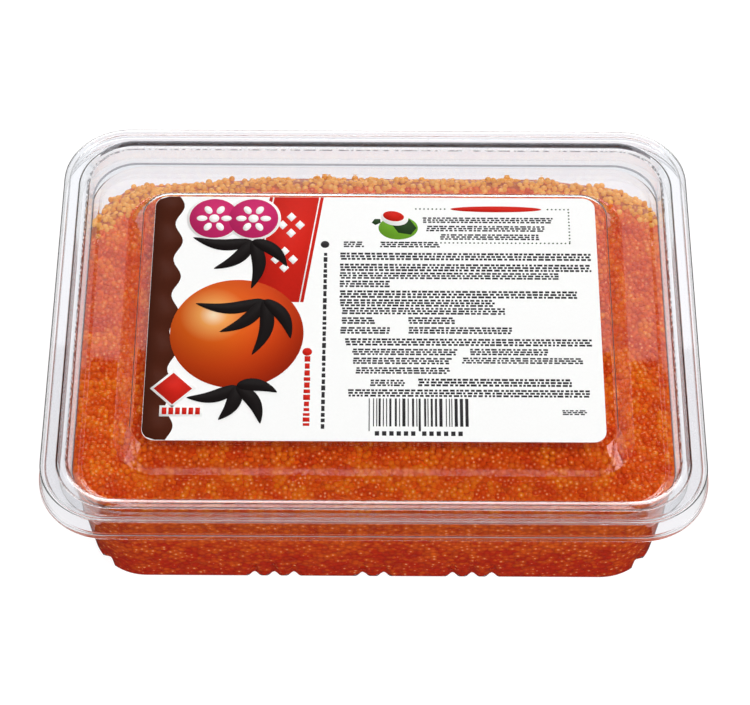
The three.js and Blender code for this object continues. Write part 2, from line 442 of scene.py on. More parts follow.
@dataclass(frozen=True)
class FootGrooves:
    """The grooves pressed into the foot of the tray's walls, and the notch in each corner."""

    long_side: tuple[float, ...] = (-29.6, -24.7, -19.8, -2.6, 2.6, 19.8, 24.7, 29.6)
    short_side: tuple[float, ...] = (-5.0, 0.0, 5.0)
    half_width: float = 1.8
    depth: float = 1.25
    corner_depth: float = 1.5
    corner_half_width: float = 2.4
    cut_pitch: float = 0.45
    cuts: int = 4
    most_corners: int = 8
    flat_middle: float = 30.0

    def split_foot(self, bm: bmesh.types.BMesh) -> None:
        """Cuts the lowest part of a skin finely where grooves go."""
        for places, axis in ((self.long_side, Vector((1, 0, 0))), (self.short_side, Vector((0, 1, 0)))):
            for place in places:
                for step in range(-self.cuts, self.cuts + 1):
                    self._split(bm, axis, place + step * self.cut_pitch)

    def _split(self, bm: bmesh.types.BMesh, axis: Vector, place: float) -> None:
        """Cuts the faces of the foot along one upright plane."""
        low = [
            face for face in bm.faces
            if len(face.verts) <= self.most_corners
            and max(vert.co.z for vert in face.verts) < GROOVE_REACH + 1
        ]
        edges = {edge for face in low for edge in face.edges}
        verts = {vert for face in low for vert in face.verts}
        geom = [*verts, *edges, *low]
        bmesh.ops.bisect_plane(bm, geom=geom, plane_co=axis * place, plane_no=axis)

    def _depth(self, away: float, height: float, half_width: float, depth: float) -> float:
        """How deep a groove is at a distance from its middle line and at a height."""
        rise = 1 - (max(height, 0) / GROOVE_REACH) ** 2
        if rise <= 0:
            return 0.0
        reach = half_width * math.sqrt(rise)
        if abs(away) >= reach:
            return 0.0
        return depth * math.sqrt(rise) * math.cos(math.pi * away / (2 * reach)) ** 2

    def press(self, bm: bmesh.types.BMesh) -> None:
        """Presses the grooves into a skin by moving the points of its walls inwards."""
        arcs = [side / 2 - FOOT_INSET - FOOT_CORNER for side in (PACK_LENGTH, PACK_WIDTH)]
        for vert in bm.verts:
            place = vert.co.copy()
            if place.z > GROOVE_REACH or place.to_2d().length < self.flat_middle:
                continue
            past = [abs(part) - arc for part, arc in zip(place, arcs)]
            if min(past) > 0:
                arm = Vector(past)
                away = (math.atan2(arm.y, arm.x) - math.pi / 4) * FOOT_CORNER
                depth = self._depth(away, place.z, self.corner_half_width, self.corner_depth)
                arm.length = max(arm.length - depth, 0.1)
                for axis in (0, 1):
                    vert.co[axis] = math.copysign(arcs[axis] + arm[axis], place[axis])
            elif max(past) > 0:
                axis = past.index(max(past))
                away = min((place[1 - axis] - middle for middle in self._middles(axis)), key=abs)
                depth = self._depth(away, place.z, self.half_width, self.depth)
                vert.co[axis] = math.copysign(abs(place[axis]) - depth, place[axis])

    def _middles(self, axis: int) -> tuple[float, ...]:
        """The grooves' middle lines on the walls that face along an axis, 0 for X and 1 for Y."""
        return self.long_side if axis == 1 else self.short_side


def wall_inset(height: float) -> float:
    """How far the tray's outer wall lies in from the pack's edge at a height."""
    share = (height - WALL_FOOT) / (WALL_TOP - WALL_FOOT)
    return FOOT_INSET - (FOOT_INSET - WALL_TOP_INSET) * share


def foot_rings() -> list[Ring]:
    """Rings up the foot of the wall, close enough together for its grooves."""
    return [Ring(wall_inset(z), FOOT_CORNER, z) for z in np.arange(1.6, GROOVE_REACH + 1, 0.8)]


@dataclass(frozen=True)
class PaintedShadeStrip:
    """A strip of a clear sheet painted darker, beside one ring and between two heights: painted shade for
    a dark line that the sheet shows at a bend.

    outward is how far the strip reaches from the ring, first inwards as a negative number. The two
    swells are how much farther it reaches along the front and along the back, and swell_from is where
    they begin. A strip with relief is ragged: it has gaps where its noise is below ragged_from.
    """

    ring: Ring
    outward: tuple[float, float]
    heights: tuple[float, float]
    # The strip's painted shade: the darker tint of the sheet's body inside it
    shade: Colour
    front_swell: float = 0.0
    back_swell: float = 0.0
    swell_from: float = 0.05
    swell_rise: float = 155.0
    relief: float = 0.0
    ragged_grain: float = 0.0009
    ragged_from: float = 0.4
    ragged_rise: float = 6.0

    def cover(self, recipe: Recipe, place: Shade) -> Shade:
        """How much of a place the strip covers, 0 to 1."""
        x, y, z = recipe.axes(place)
        past_x, past_y = (
            recipe.most(recipe.math("ABSOLUTE", way) - (half - self.ring.corner) * MM, 0.0)
            for way, half in zip((x, y), self.ring.half_sizes())
        )
        away = (past_x * past_x + past_y * past_y) ** 0.5 - self.ring.corner * MM
        to_front, to_back = (
            recipe.clamped((y * side - self.swell_from) * self.swell_rise) for side in (-1.0, 1.0)
        )
        swell = to_front * self.front_swell + to_back * self.back_swell
        farthest = (swell + self.outward[1]) * MM
        cover = (
            recipe.above(away, self.outward[0] * MM) * recipe.above(farthest, away)
            * recipe.above(z, self.heights[0] * MM) * recipe.above(self.heights[1] * MM, z)
        )
        if self.relief > 0:
            ragged = recipe.cloud(place, self.ragged_grain, 1.0) - self.ragged_from
            cover = cover * recipe.clamped(ragged * self.ragged_rise)
        return cover


@dataclass(frozen=True)
class ClearSheet:
    """Thin clear formed plastic: it bends light at its curves and mirrors the studio faintly, and its
    strips are painted darker as painted shade.
    """

    name: str
    strips: tuple[PaintedShadeStrip, ...] = ()
    body: Colour = (0.98, 0.985, 0.995, 1.0)
    lamp_tint: Colour = (0.965, 0.97, 0.975, 1.0)
    refraction: float = 1.5
    roughness: float = 0.02
    wave_grain: float = 0.014
    wave_height: float = 0.0000025

    def dress(self) -> bpy.types.Material:
        """Writes the material. Lamps and light off the food pass straight through it."""
        recipe = Recipe.of_material(self.name)
        place = recipe.place()
        surface = recipe.cloud(place, self.wave_grain) * self.wave_height
        body: Any = self.body
        # Painted shade: inside each strip the sheet's body is tinted darker
        for strip in self.strips:
            cover = strip.cover(recipe, place)
            surface = surface + cover * strip.relief
            body = recipe.blend(cover, body, strip.shade)
        sheet = recipe.principled({
            "Base Color": body, "Roughness": self.roughness, "IOR": self.refraction,
            "Transmission Weight": 1.0, "Normal": recipe.bump(surface, 1.0),
        })
        open_to_lamps = recipe.node("ShaderNodeBsdfTransparent", sockets={0: self.lamp_tint})
        passing = recipe.most(recipe.ray("Is Shadow Ray"), recipe.ray("Diffuse Depth"))
        return recipe.finish(recipe.either(passing, sheet, open_to_lamps))


def clear_piece(part: str, bm: bmesh.types.BMesh, strips: tuple[PaintedShadeStrip, ...]) -> bpy.types.Object:
    """Turns the mesh of the tray or lid into a piece of clear plastic with its strips of painted shade.
    """
    name = f"{part}_sheet"
    piece = make_piece(name, finished_mesh(name, bm), ClearSheet(f"clear {part} sheet", strips).dress())
    keep_flats_flat(piece)
    return piece


@dataclass
class Tray:
    """The tapering tray: flat bottom, grooved foot, wall, ledge, flange and turned-down lip."""

    grooves: FootGrooves = field(default_factory=FootGrooves)
    foot_bend: float = 1.0
    step_bend: float = 0.2
    rim_bend: float = 0.22
    # Painted shade: the top of the back wall is painted dark, for the dark line that the bend shows there
    painted_back_line_shade: PaintedShadeStrip = PaintedShadeStrip(
        Ring(4.43, 14.35, 40.7), (-0.62, -0.7), (39.8, 41.2), (0.1, 0.1, 0.11, 1.0), back_swell=0.8
    )

    def rings(self) -> list[Ring]:
        """The rings of the outer face, from the bottom to the inside of the lip."""
        return [
            Ring(BOTTOM_INSET, BOTTOM_CORNER, 0.0, self.foot_bend),
            *foot_rings(),
            Ring(WALL_TOP_INSET, 14.0, WALL_TOP, self.step_bend),
            Ring(4.6, 14.1, 34.8, self.step_bend),
            Ring(4.43, 14.35, 40.7, self.step_bend),
            Ring(2.28, 15.05, 40.7, self.rim_bend),
            Ring(2.15, 15.2, 39.3),
        ]

    def build(self) -> bpy.types.Object:
        """Builds the tray and dresses it."""
        sheet = FormedSheet(self.rings(), faces_up=False, corner_steps=20)
        bm = bmesh.new()
        sheet.skin(bm)
        self.grooves.split_foot(bm)
        self.grooves.press(bm)
        sheet.thicken(bm)
        piece = clear_piece("tray", bm, (self.painted_back_line_shade,))
        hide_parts("tray")
        return piece


@dataclass
class Lid:
    """The stacking lid: plateau, trough, ledge, well wall, flange and skirt."""

    edge_bend: float = 0.6
    well_bend: float = 1.5
    flange_bend: float = 0.8
    small_bend: float = 0.22
    skirt_bend: float = 0.15
    dish: float = 0.04
    # Painted shade: a thin dark line painted along the foot of the well wall
    painted_crease_shade: PaintedShadeStrip = PaintedShadeStrip(Ring(7.9, 11.2, 36.1), (-0.3, 0.12), (36.0, 36.5), (0.24, 0.24, 0.26, 1.0))
    # Fine ribs along the top of the well wall, given relief, and painted darker in ragged patches as
    # painted shade for the light they scatter away
    knurls_and_painted_shade: PaintedShadeStrip = PaintedShadeStrip(
        Ring(7.1, 11.9, FLANGE_TOP), (-0.05, 0.4), (40.9, 42.1), (0.2, 0.2, 0.21, 1.0),
        front_swell=-0.5, back_swell=-0.5, relief=0.00004,
    )

    def rings(self) -> list[Ring]:
        """The rings of the upper face, from the plateau to the foot of the skirt."""
        return [
            Ring(21.86, 6.64, PLATEAU_TOP, self.edge_bend),
            Ring(17.67, 10.5, TROUGH_FLOOR, self.edge_bend, 17.07),
            Ring(10.2, 9.8, TROUGH_FLOOR, self.small_bend),
            Ring(9.5, 10.5, 35.85, self.small_bend),
            Ring(7.9, 11.2, 36.1, self.small_bend),
            Ring(7.1, 11.9, FLANGE_TOP - self.dish, self.well_bend),
            Ring(5.5, 13.05, FLANGE_TOP - self.dish * 0.75),
            Ring(1.8, 15.71, FLANGE_TOP - self.dish * 0.16),
            Ring(0.78, 16.45, FLANGE_TOP, self.flange_bend),
            Ring(0.42, 16.8, 36.0, self.skirt_bend),
            Ring(0.1, 17.1, 35.7, self.skirt_bend),
            Ring(0.0, 17.2, 34.2),
        ]

    def build(self) -> bpy.types.Object:
        """Builds the lid and dresses it."""
        sheet = FormedSheet(self.rings(), faces_up=True)
        bm = bmesh.new()
        sheet.skin(bm)
        sheet.thicken(bm)
        piece = clear_piece("lid", bm, (self.painted_crease_shade, self.knurls_and_painted_shade))
        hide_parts("lid")
        return piece


# The colour of painted highlights on the eggs and the heap
PAINTED_HIGHLIGHT = linear(252, 196, 136)
EGG_REFRACTION = 1.4


class EggKind(Enum):
    """The colours that the eggs come in: darkest tone and palest tone."""

    DEEP = (linear(202, 58, 10), linear(212, 70, 12))
    RED = (linear(208, 68, 10), linear(218, 82, 12))
    ORANGE = (linear(214, 78, 11), linear(224, 96, 13))
    CLOUDY = (linear(218, 92, 18), linear(230, 112, 28))
    AMBER = (linear(220, 96, 11), linear(234, 124, 16))
    # The last kind is for the eggs along the back edge: their amber tone painted paler and yellower, as
    # painted backlight for light passing through them from behind
    GOLDEN = (linear(220, 136, 42), linear(246, 184, 86))


@dataclass(frozen=True)
class EggSkin:
    """The wet skin of the eggs of one kind, each egg in its own tone between two, with a painted
    highlight:
    a pale spot, like the light that a clear egg gathers, painted on the side of each egg that faces one
    fixed way, and a faint painted glow."""

    kind: EggKind
    roughness: float = 0.1
    roughness_range: float = 0.12
    patch_grain: float = 0.0012
    tone_share: float = 0.7
    # Painted highlight: a pale spot painted where the egg's surface faces this fixed way
    painted_highlight_toward: tuple[float, float, float] = (0.05, -0.4, 0.915)
    painted_highlight_edge: float = 0.915
    painted_highlight_rise: float = 14.0
    painted_highlight_strength: float = 0.6
    # Painted glow: the eggs give off a little light of their darkest tone, though they are no lamp, to
    # lighten their shade
    glow: float = 0.1

    def dress(self) -> bpy.types.Material:
        """Writes the material."""
        recipe = Recipe.of_material(f"{self.kind.name.lower()} eggs")
        dark, pale = self.kind.value
        tone = recipe.node("ShaderNodeAttribute", {"attribute_name": EggHeap.TONE}, output="Fac")
        patches = recipe.cloud(recipe.place(), self.patch_grain, 1.0)
        mix = tone * self.tone_share + patches * (1 - self.tone_share)
        # The painted highlight: pale where the egg's own surface faces one fixed way, strongest on the
        # paler eggs
        facing = recipe.node(
            "ShaderNodeVectorMath", {"operation": "DOT_PRODUCT"},
            {0: recipe.node("ShaderNodeTexCoord", output="Normal"), 1: self.painted_highlight_toward}, "Value",
        )
        spot = recipe.clamped((facing - self.painted_highlight_edge) * self.painted_highlight_rise)
        least_rough = self.roughness - self.roughness_range / 2
        return recipe.finish(recipe.principled({
            "Base Color": recipe.blend(
                spot * tone * tone * self.painted_highlight_strength, recipe.blend(mix, dark, pale), PAINTED_HIGHLIGHT
            ),
            "Roughness": patches * self.roughness_range + least_rough,
            "IOR": EGG_REFRACTION,
            "Specular IOR Level": 0.35,
            # The painted glow
            "Emission Color": dark,
            "Emission Strength": self.glow,
        }))


# Level lines along which the heap ends at its back: a place on each, then its way outwards
BACK_CUTS = (
    (0.0, 48.6, 0.0, 1.0),
    (-66.3, 39.0, -0.7, 0.71),
    (-55.5, 45.2, -0.11, 0.994),
    (66.0, 41.6, 0.5, 0.866),
    (57.0, 45.6, 0.2, 0.98),
)


@dataclass(frozen=True)
class HeapFlesh:
    """The body of the heap between and behind its loose eggs: relief of the eggs' size, each egg in its
    own tone of deep orange, some with a painted highlight, a pale spot painted at the cell's middle like
    the light that a clear egg gathers. High along its back edge it is painted a paler gold, as painted
    backlight."""

    deep: Colour = linear(202, 44, 12)
    bright: Colour = linear(240, 102, 17)
    # Painted backlight: the paler gold that the high back edge is painted
    golden: Colour = linear(196, 100, 20)
    gaps: Colour = linear(160, 26, 8)
    egg_size: float = 0.00138
    relief: float = 0.0003
    patch_grain: float = 0.005
    patch_range: float = 1.5
    tone_range: float = 0.7
    paler_upwards: float = 34.0
    deeper: float = 0.08
    roughness: float = 0.3
    crown_gloss: float = 0.08
    gap_from: float = 0.25
    gap_rise: float = 2.4
    gap_strength: float = 0.5
    # Painted highlight: a pale spot painted at the middle of the paler cells
    painted_highlight_size: float = 0.15
    painted_highlight_range: float = 0.1
    painted_highlight_rise: float = 16.0
    painted_highlight_strength: float = 0.6
    # Where the painted backlight goes: high up and along the back edge
    backlit_gold_from: float = 0.0265
    backlit_gold_rise: float = 170.0
    backlit_gold_edge: float = 0.002
    backlit_gold_lead: float = 1.5

    def dress(self) -> bpy.types.Material:
        """Writes the material."""
        recipe = Recipe.of_material("packed roe")
        place = recipe.place()
        cells = {"Vector": place, "Scale": 1 / self.egg_size, "Randomness": 0.9}
        from_middle, own_colour = (
            recipe.node("ShaderNodeTexVoronoi", {"feature": "F1"}, cells, output)
            for output in ("Distance", "Color")
        )
        tone, _, _ = recipe.axes(own_colour)
        crown = 1.0 - from_middle * from_middle
        patches = (recipe.cloud(place, self.patch_grain) - 0.5) * self.patch_range
        x, y, height = recipe.axes(place)
        mix = patches + (tone - 0.5) * self.tone_range + height * self.paler_upwards - self.deeper
        # Painted backlight: the high back edge is painted a paler gold
        high = recipe.clamped((height - self.backlit_gold_from) * self.backlit_gold_rise + patches)
        base = recipe.blend(
            self._near_back(recipe, x, y) * high, recipe.blend(mix, self.deep, self.bright), self.golden
        )
        gap = recipe.clamped(from_middle * from_middle * self.gap_rise - self.gap_from)
        egg = recipe.blend(gap * self.gap_strength, base, self.gaps)
        # The painted highlight: pale at the middle of the paler cells
        spot = tone * self.painted_highlight_range + self.painted_highlight_size - from_middle
        spot = recipe.clamped(spot * self.painted_highlight_rise) * tone * self.painted_highlight_strength
        return recipe.finish(recipe.principled({
            "Base Color": recipe.blend(spot, egg, PAINTED_HIGHLIGHT),
            "Roughness": self.roughness - crown * self.crown_gloss,
            "IOR": EGG_REFRACTION,
            "Specular IOR Level": 0.2,
            "Normal": recipe.bump(crown, self.relief),
        }))

    def _near_back(self, recipe: Recipe, x: Shade, y: Shade) -> Any:
        """1 along the heap's back edge, running out to 0 in front of it."""
        near: Any = 0.0
        for at_x, at_y, toward_x, toward_y in BACK_CUTS:
            past = (x - at_x * MM) * toward_x + (y - at_y * MM) * toward_y
            near = recipe.most(near, past * (1 / self.backlit_gold_edge) + self.backlit_gold_lead)
        return near


@dataclass
class Core:
    """The body of the heap: it reaches just into the tray's wall and is cut off along its back."""

    recess: float = 0.16
    top: float = 34.0
    voxel: float = 0.95
    relief: float = 0.22
    relief_middle: float = 0.6
    slump: float = 0.85

    def before_back(self, x: float, y: float) -> float:
        """How far a place on top lies before the heap's back edge, in millimetres."""
        past = [
            ((x - at_x) * toward_x + (y - at_y) * toward_y) / math.hypot(toward_x, toward_y)
            for at_x, at_y, toward_x, toward_y in BACK_CUTS
        ]
        return -max(past)

    def solid(self) -> bmesh.types.BMesh:
        """Builds the plain closed body in millimetres."""
        rings = [Ring(BOTTOM_INSET, BOTTOM_CORNER, self.recess).shrunk(self.recess)]
        rings += [ring.shrunk(self.recess) for ring in foot_rings()]
        rings.append(Ring(wall_inset(self.top), FOOT_CORNER, self.top).shrunk(self.recess))
        body = FormedSheet(rings, faces_up=False, corner_steps=16)
        bm = bmesh.new()
        body.skin(bm)
        grooves = FootGrooves()
        grooves.split_foot(bm)
        grooves.press(bm)
        rim = [edge for edge in bm.edges if edge.is_boundary]
        bmesh.ops.contextual_create(bm, geom=rim)
        for x, y, toward_x, toward_y in BACK_CUTS:
            self._cut(bm, Vector((x, y, self.top)), Vector((toward_x, toward_y, 0)).normalized())
        bmesh.ops.recalc_face_normals(bm, faces=bm.faces)
        return bm

    def _cut(self, bm: bmesh.types.BMesh, place: Vector, toward: Vector) -> None:
        """Takes one sloping slice off the back of the body."""
        normal = (toward * self.slump + Vector((0, 0, 1))).normalized()
        geom = [*bm.verts, *bm.edges, *bm.faces]
        bmesh.ops.bisect_plane(bm, geom=geom, plane_co=place, plane_no=normal, clear_outer=True)
        open_edges = [edge for edge in bm.edges if edge.is_boundary]
        bmesh.ops.contextual_create(bm, geom=open_edges)

    def remeshed(self) -> bpy.types.Mesh:
        """The body as an even mesh in metres, before its relief."""
        bm = self.solid()
        bmesh.ops.triangulate(bm, faces=[face for face in bm.faces if len(face.verts) > 4])
        draft = add_object("core draft", finished_mesh("core draft", bm))
        remesh = draft.modifiers.new("even", "REMESH")
        remesh.mode = "VOXEL"
        remesh.voxel_size = self.voxel * MM
        even = bpy.data.meshes.new_from_object(draft.evaluated_get(bpy.context.evaluated_depsgraph_get()))
        bpy.data.objects.remove(draft)
        return even

    def build(self, mesh: bpy.types.Mesh) -> bpy.types.Object:
        """Gives the even mesh its relief and dresses it.

        Args:
            mesh: What remeshed returned.

        Returns:
            The heap's body as a piece.
        """
        bm = bmesh.new()
        bm.from_mesh(mesh)
        bm.normal_update()
        moves = [
            vert.normal * max(vert.normal.z, 0.0) * self._bump(vert.co / MM) * MM for vert in bm.verts
        ]
        for vert, move in zip(bm.verts, moves):
            vert.co += move
        bm.to_mesh(mesh)
        bm.free()
        piece = make_piece("roe_core", mesh, HeapFlesh().dress())
        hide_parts("roe")
        return piece

    def _bump(self, place: Vector) -> float:
        """Height of the relief in millimetres at a place in millimetres."""
        near, _ = noise.voronoi(place / (2 * EGG_RADIUS))
        return self.relief * (self.relief_middle - near[0])


@dataclass
class Grain:
    """One loose egg: its middle, the way its free side looks, its radius and its tone."""

    middle: Vector
    outward: Vector
    radius: float
    tone: float


@dataclass
class EggHeap:
    """The real eggs on top of the heap: pressed against the trough, loose under the plateau and along
    the back edge."""

    TONE = "egg_tone"
    # The warmth that each kind stays below, and the length and height of the waves that warmth has
    WARMTH_STEPS = (
        (-0.3, EggKind.DEEP), (-0.12, EggKind.RED), (0.1, EggKind.ORANGE), (0.2, EggKind.CLOUDY),
    )
    WARMTH_WAVES = ((5.0, 0.8), (2.2, 0.3))

    core: Core
    seed: int = 4127
    spacing: float = 1.02
    back_spacing: float = 1.22
    tries_per_area: float = 2.6
    radius_range: tuple[float, float] = (0.9, 1.07)
    unround: float = 0.05
    warmth_scatter: tuple[float, float] = (-0.08, 0.1)
    # How far from the back edge eggs are painted the backlit gold, and within what distance all of them
    # are
    backlit_gold_reach: float = 6.0
    all_backlit_gold: float = 1.7
    steepest: float = 0.4
    level_from: float = 0.93
    slope_lift: tuple[float, float] = (-0.5, 0.3)
    slope_wave: float = 1.2
    slope_wave_length: float = 4.0
    plateau_band: float = 13.0
    plateau_half: tuple[float, float] = (61.4, 42.1)
    plateau_lift: tuple[float, float] = (-0.1, 0.75)
    trough_underside: float = TROUGH_FLOOR - SHEET
    trough_press: float = 0.06
    trough_sag: float = 0.35
    wall_bite: float = 0.12

    def samples(self, mesh: bpy.types.Mesh) -> list[tuple[Vector, Vector]]:
        """Places all over the body, no two closer than the spacing, with their normals.

        Args:
            mesh: The even body in metres.

        Returns:
            Places and normals in millimetres.
        """
        draw = np.random.default_rng(self.seed)
        mesh.calc_loop_triangles()
        corners = np.empty(len(mesh.loop_triangles) * 3, dtype=np.int32)
        mesh.loop_triangles.foreach_get("vertices", corners)
        points = np.empty(len(mesh.vertices) * 3)
        mesh.vertices.foreach_get("co", points)
        triangles = points.reshape(-1, 3)[corners.reshape(-1, 3)] / MM
        sides = triangles[:, 1:] - triangles[:, :1]
        cross = np.cross(sides[:, 0], sides[:, 1])
        area = np.linalg.norm(cross, axis=1)
        tries = int(area.sum() / 2 * self.tries_per_area)
        chosen = draw.choice(len(area), tries, p=area / area.sum())
        first, second = np.sqrt(draw.random(tries)), draw.random(tries)
        along = sides[chosen]
        places = triangles[chosen, 0] + (along[:, 0] * (1 - second)[:, None]
                                         + along[:, 1] * second[:, None]) * first[:, None]
        normals = cross[chosen] / np.maximum(area[chosen], 1e-9)[:, None]
        return self._thin_out(places, normals)

    def _thin_out(self, places: np.ndarray, normals: np.ndarray) -> list[tuple[Vector, Vector]]:
        """Leaves out every place that lies too close to one already kept."""
        kept: dict[tuple[int, int, int], list[np.ndarray]] = {}
        result = []
        nearby = list(product((-1, 0, 1), repeat=3))
        for place, normal in zip(places, normals):
            if not self._wanted(place, normal):
                continue
            near_back = self.core.before_back(place[0], place[1]) < self.all_backlit_gold
            least = (self.back_spacing if near_back else self.spacing) ** 2
            cell = tuple(int(math.floor(part / self.spacing)) for part in place)
            others = (
                other for i, j, k in nearby
                for other in kept.get((cell[0] + i, cell[1] + j, cell[2] + k), ())
            )
            if any(((other - place) ** 2).sum() < least for other in others):
                continue
            kept.setdefault(cell, []).append(place)
            result.append((Vector(place), Vector(normal)))
        return result

    def _wanted(self, place: np.ndarray, normal: np.ndarray) -> bool:
        """False on the walls, where the body itself shows, and in the middle under the label."""
        if normal[2] < self.steepest:
            return False
        length, width = self.plateau_half
        within = max(abs(place[0]) - length, abs(place[1]) - width)
        return within > -self.plateau_band

    def grains(self, mesh: bpy.types.Mesh) -> list[Grain]:
        """Puts an egg at each place, as deep as its zone asks, where it stays inside the tray's wall."""
        draw = random.Random(self.seed)
        made = []
        for place, normal in self.samples(mesh):
            radius = EGG_RADIUS * draw.uniform(*self.radius_range)
            tone = draw.random()
            inside = abs(place.x) < self.plateau_half[0] and abs(place.y) < self.plateau_half[1]
            if normal.z < self.level_from:
                wave = noise.noise(place / self.slope_wave_length) * self.slope_wave
                middle = place + normal * (draw.uniform(*self.slope_lift) + wave)
                middle.z = min(middle.z, self.trough_underside - radius)
            elif inside:
                middle = place + Vector((0, 0, draw.uniform(*self.plateau_lift)))
            else:
                top = self.trough_underside + self.trough_press - draw.random() ** 2 * self.trough_sag
                middle = Vector((place.x, place.y, top - radius))
            inner_wall = Ring(wall_inset(middle.z), FOOT_CORNER, middle.z).shrunk(SHEET - self.wall_bite)
            if inner_wall.beyond(middle.x, middle.y) < -radius:
                made.append(Grain(middle, normal, radius, tone))
        return made

    def kind_of(self, grain: Grain, draw: random.Random) -> EggKind:
        """Which kind an egg is: painted a backlit gold along the back edge, and elsewhere alike in
        patches.
        """
        before = self.core.before_back(grain.middle.x, grain.middle.y) - self.all_backlit_gold
        chance = draw.random() * (self.backlit_gold_reach - self.all_backlit_gold)
        if chance > before:
            return EggKind.GOLDEN if chance > 2 * before else EggKind.CLOUDY
        warmth = sum(noise.noise(grain.middle / length) * height for length, height in self.WARMTH_WAVES)
        warmth += draw.uniform(*self.warmth_scatter)
        return next((kind for step, kind in self.WARMTH_STEPS if warmth < step), EggKind.AMBER)

    def build(self, body: bpy.types.Mesh) -> list[bpy.types.Object]:
        """Builds one piece for each kind of egg, all over an even body."""
        draw = random.Random(self.seed + 1)
        sorted_grains: dict[EggKind, list[Grain]] = {kind: [] for kind in EggKind}
        for grain in self.grains(body):
            sorted_grains[self.kind_of(grain, draw)].append(grain)
        pieces = []
        for kind, grains in sorted_grains.items():
            mesh = self._join(grains)
            piece = make_piece(f"eggs_{kind.name.lower()}", mesh, EggSkin(kind).dress())
            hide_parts("roe")
            pieces.append(piece)
        return pieces

    def _join(self, grains: Sequence[Grain]) -> bpy.types.Mesh:
        """Joins eggs to one mesh in metres, with each egg's tone as an attribute."""
        draw = np.random.default_rng(self.seed + 2)
        bm = bmesh.new()
        bmesh.ops.create_icosphere(bm, subdivisions=2, radius=1.0)
        bm.verts.ensure_lookup_table()
        shape = np.array([vert.co for vert in bm.verts])
        faces = np.array([[vert.index for vert in face.verts] for face in bm.faces])
        bm.free()
        points, corners, tones = [], [], []
        for grain in grains:
            turn = grain.outward.to_track_quat("Z", "Y").to_matrix() @ Matrix.Rotation(
                draw.uniform(0, math.tau), 3, "Z"
            )
            stretch = grain.radius * (1 + draw.uniform(-self.unround, self.unround, 3))
            corners.append(faces + len(points) * len(shape))
            points.append((shape * stretch) @ np.array(turn).T + np.array(grain.middle))
            tones.append(np.full(len(shape), grain.tone))
        mesh = bpy.data.meshes.new("eggs")
        mesh.from_pydata(np.concatenate(points) * MM, [], np.concatenate(corners))
        mesh.attributes.new(self.TONE, "FLOAT", "POINT").data.foreach_set(
            "value", np.concatenate(tones).astype(np.float32)
        )
        mesh.update()
        return mesh


class Ink(Enum):
    """The colours of the label's print."""

    BLACK = linear(28, 24, 24)
    TEXT = linear(52, 50, 52)
    BROWN = linear(74, 34, 22)
    RED = linear(204, 38, 28)
    WHITE = linear(252, 250, 248)
    MAGENTA = linear(198, 44, 104)
    GREEN = linear(112, 168, 48)
    LEAF = linear(46, 70, 40)
    BALL = linear(208, 70, 22)


PRINT_ROUGHNESS = 0.6
PRINT_GLOSS = 0.03


@dataclass(frozen=True)
class PrintedInk:
    """Ink on coated paper, with the faint mottle of print."""

    ink: Ink
    roughness: float = PRINT_ROUGHNESS
    mottle_grain: float = 0.0009
    mottle: float = 0.08
    paler: float = 1.12

    def dress(self) -> bpy.types.Material:
        """Writes the material."""
        recipe = Recipe.of_material(f"{self.ink.name.lower()} ink")
        mottle = recipe.cloud(recipe.place(), self.mottle_grain)
        paler = tuple(part * self.paler for part in self.ink.value[:3]) + (1.0,)
        return recipe.finish(recipe.principled({
            "Base Color": recipe.blend(mottle, self.ink.value, paler),
            "Roughness": mottle * self.mottle + (self.roughness - self.mottle / 2),
            "Specular IOR Level": PRINT_GLOSS,
        }))


@dataclass(frozen=True)
class BallPrint:
    """The print of a shiny orange ball: a pale spot that runs out into orange and red-brown."""

    middle: tuple[float, float]
    radius: float
    spot: tuple[float, float] = (-0.36, 0.34)
    reach: float = 1.5
    stops: tuple[tuple[float, Colour], ...] = (
        (0.0, linear(252, 226, 190)), (0.14, linear(240, 160, 84)), (0.34, linear(222, 94, 26)),
        (0.62, Ink.BALL.value), (0.86, linear(180, 50, 18)), (1.0, linear(158, 40, 18)),
    )

    def dress(self) -> bpy.types.Material:
        """Writes the material."""
        recipe = Recipe.of_material("printed ball")
        x, y, _ = recipe.axes(recipe.place())
        away_x, away_y = (
            way - (middle + spot * self.radius) * MM
            for way, middle, spot in zip((x, y), self.middle, self.spot)
        )
        away = (away_x ** 2.0 + away_y ** 2.0) ** 0.5 * (1 / (self.radius * MM * self.reach))
        return recipe.finish(recipe.principled({
            "Base Color": recipe.ramp(away, self.stops),
            "Roughness": PRINT_ROUGHNESS,
            "Specular IOR Level": PRINT_GLOSS,
        }))


@dataclass(frozen=True)
class Paper:
    """White coated paper."""

    fibre_grain: float = 0.0006
    fibre_relief: float = 0.000008

    def dress(self) -> bpy.types.Material:
        """Writes the material."""
        recipe = Recipe.of_material("label paper")
        fibre = recipe.cloud(recipe.place(), self.fibre_grain, 3.0)
        return recipe.finish(recipe.principled({
            "Base Color": recipe.blend(fibre, linear(248, 248, 247), linear(254, 254, 253)),
            "Roughness": fibre * 0.1 + 0.35,
            "Normal": recipe.bump(fibre, self.fibre_relief),
        }))


def faces_round(verts: Iterable[bmesh.types.BMVert]) -> list[bmesh.types.BMFace]:
    """Every face that meets one of these points, each once."""
    return list({face for vert in verts for face in vert.link_faces})


